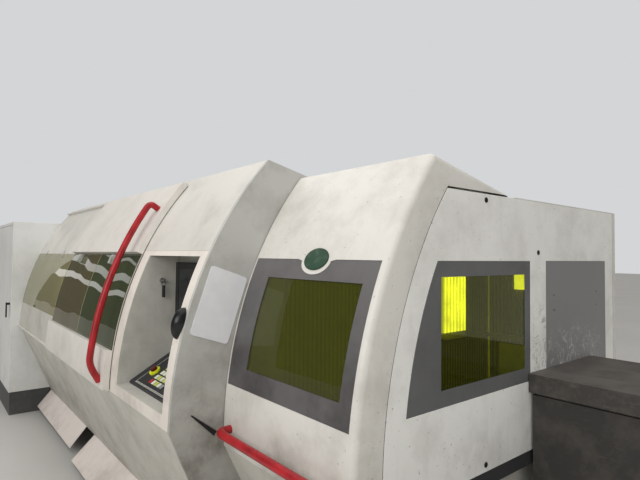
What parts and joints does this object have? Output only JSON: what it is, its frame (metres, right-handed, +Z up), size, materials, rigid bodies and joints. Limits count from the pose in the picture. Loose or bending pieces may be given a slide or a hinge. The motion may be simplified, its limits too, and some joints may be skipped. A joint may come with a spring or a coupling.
{
  "type": "fiber laser cutting machine",
  "caption": "Enclosed laser machine for cutting tube, with a curved hull, sliding door, operator recess, lifting hood, side window, cabinet and outfeed bin.",
  "frame": {"origin": "centre of the footprint, on the floor", "axes": "+X runs along the machine towards the outfeed bin, -Y is the operator's side, +Z is up"},
  "size_m": [6.7, 2.494, 2.1],
  "materials": {
    "shell_white": "worn satin powder coat",
    "shell_grey": "worn satin powder coat",
    "kick_white": "scuffed satin paint",
    "bezel_grey": "matt paint, fine grain",
    "laser_safe_window": "green laser-safe acrylic",
    "laser_safe_end_window": "yellow-green laser-safe acrylic",
    "tinted_glazing": "olive tinted acrylic",
    "handle_red": "semi-gloss coating",
    "badge_green": "satin",
    "black_plastic": "moulded satin",
    "black_rubber": "dull",
    "desk_black": "smooth satin",
    "key_white": "satin",
    "collar_yellow": "satin",
    "stop_red": "satin",
    "board_white": "glossy wipe-clean sheet",
    "clamp_white": "satin",
    "screen_dark": "dark anti-glare screen",
    "bed_grey": "matt machine paint",
    "plinth_dark": "matt paint",
    "cabinet_grey": "satin powder coat",
    "bin_steel": "scratched dark paint on sheet steel",
    "bright_steel": "machined",
    "bellows_grey": "coated cloth",
    "lamp_white": "ribbed diffuser"
  },
  "bodies": {
    "machine": {"bed": "bed_grey", "left_bulkhead": "shell_grey", "step_bulkhead": "shell_grey", "loader_roof": "shell_white", "loader_apron": "shell_grey", "fixed_pane": "tinted_glazing", "pane_clamp_0": "clamp_white", "pane_clamp_1": "clamp_white", "door_rail_lower": "bright_steel", "door_rail_upper": "bright_steel", "console_frame": "shell_white", "console_box": "shell_grey", "console_desk": "desk_black", "key_mat": "key_white", "estop_collar": "collar_yellow", "key_switch": "bright_steel", "monitor": "black_plastic", "monitor_screen": "screen_dark", "hand_piece": "black_plastic", "note_board": "board_white", "fin_strap": "black_rubber", "cell_rear_shell": "shell_white", "cell_skirt": "shell_grey", "end_frame": "bed_grey", "end_panel": "shell_white", "end_bezel": "bezel_grey", "end_window": "laser_safe_end_window", "blank_plate": "bezel_grey", "kick_plate_left": "kick_white", "kick_plate_right": "kick_white", "cabinet_plinth": "plinth_dark", "cabinet_body": "cabinet_grey", "outfeed_bin": "bin_steel", "side_bellows": "bellows_grey", "lamp_panel": "lamp_white"},
    "sliding_door": {"door_frame": "shell_white", "door_pane_left": "tinted_glazing", "door_pane_right": "tinted_glazing", "pane_clamp_2": "clamp_white", "pane_clamp_3": "clamp_white", "door_handle": "handle_red"},
    "hood": {"hood_shell": "shell_white", "hood_bezel": "bezel_grey", "hood_window": "laser_safe_window", "hood_badge": "badge_green", "hood_handle": "handle_red"},
    "bin_lid": {"outfeed_lid": "bin_steel"},
    "cabinet_leaf": {"cabinet_door": "cabinet_grey"},
    "cabinet_latch": {"cabinet_lever": "black_plastic"},
    "stop_button": {"estop_button": "stop_red"},
    "key": {"switch_key": "bright_steel"},
    "bunch": {"key_bunch": "bright_steel"},
    "lock_0": {"panel_lock_0": "black_plastic"},
    "lock_1": {"panel_lock_1": "black_plastic"},
    "lock_2": {"panel_lock_2": "black_plastic"},
    "chuck_sled": {"chuck_carriage": "cabinet_grey"},
    "rear_spindle": {"rear_chuck": "bright_steel"},
    "front_spindle": {"front_chuck": "bright_steel"},
    "saddle": {"head_carriage": "cabinet_grey"},
    "head": {"cutting_head": "bright_steel"}
  },
  "joints": [
    {"name": "door_slide", "type": "slide", "parent": "machine", "child": "sliding_door", "axis": [-1, 0, 0], "range_m": [0, 1.45]},
    {"name": "hood_hinge", "type": "hinge", "parent": "machine", "child": "hood", "pos_m": [1.71, 0.11296, 1.916], "axis": [-1, 0, 0], "range_deg": [0, 55]},
    {"name": "lid_hinge", "type": "hinge", "parent": "machine", "child": "bin_lid", "pos_m": [2.455, 0.902, 1.017], "axis": [-1, 0, 0], "range_deg": [0, 80]},
    {"name": "cabinet_hinge", "type": "hinge", "parent": "machine", "child": "cabinet_leaf", "pos_m": [-3.3197, -1.21, 0.26], "axis": [0, 0, -1], "range_deg": [0, 110]},
    {"name": "latch_turn", "type": "hinge", "parent": "cabinet_leaf", "child": "cabinet_latch", "pos_m": [-2.33, -1.21, 1.12], "axis": [0, 1, 0], "range_deg": [0, 90]},
    {"name": "stop_press", "type": "slide", "parent": "machine", "child": "stop_button", "axis": [0, 0.4983, -0.867], "range_m": [0, 0.005]},
    {"name": "key_turn", "type": "hinge", "parent": "machine", "child": "key", "pos_m": [0.9156, -0.895, 1.495], "axis": [-1, 0, 0], "range_deg": [0, 90]},
    {"name": "bunch_swing", "type": "hinge", "parent": "key", "child": "bunch", "pos_m": [0.9336, -0.895, 1.4907], "axis": [1, 0, 0], "range_deg": [-25, 25]},
    {"name": "lock_turn_0", "type": "hinge", "parent": "machine", "child": "lock_0", "pos_m": [2.444, -0.1261, 1.88], "axis": [1, 0, 0], "range_deg": [0, 90]},
    {"name": "lock_turn_1", "type": "hinge", "parent": "machine", "child": "lock_1", "pos_m": [2.444, 0.316, 1.666], "axis": [1, 0, 0], "range_deg": [0, 90]},
    {"name": "lock_turn_2", "type": "hinge", "parent": "machine", "child": "lock_2", "pos_m": [2.444, -0.131, 0.794], "axis": [1, 0, 0], "range_deg": [0, 90]},
    {"name": "sled_travel", "type": "slide", "parent": "machine", "child": "chuck_sled", "axis": [1, 0, 0], "range_m": [0, 3.15]},
    {"name": "rear_spin", "type": "hinge", "parent": "chuck_sled", "child": "rear_spindle", "pos_m": [-1.788, 0.2, 1.2], "axis": [1, 0, 0], "continuous": true},
    {"name": "front_spin", "type": "hinge", "parent": "machine", "child": "front_spindle", "pos_m": [1.56, 0.2, 1.2], "axis": [1, 0, 0], "continuous": true},
    {"name": "saddle_travel", "type": "slide", "parent": "machine", "child": "saddle", "axis": [0, 1, 0], "range_m": [-0.35, 0.4]},
    {"name": "head_lift", "type": "slide", "parent": "saddle", "child": "head", "axis": [0, 0, 1], "range_m": [-0.08, 0.05]}
  ],
  "couplings": [
    {"joint": "front_spin", "follows": "rear_spin", "ratio": 1}
  ]
}
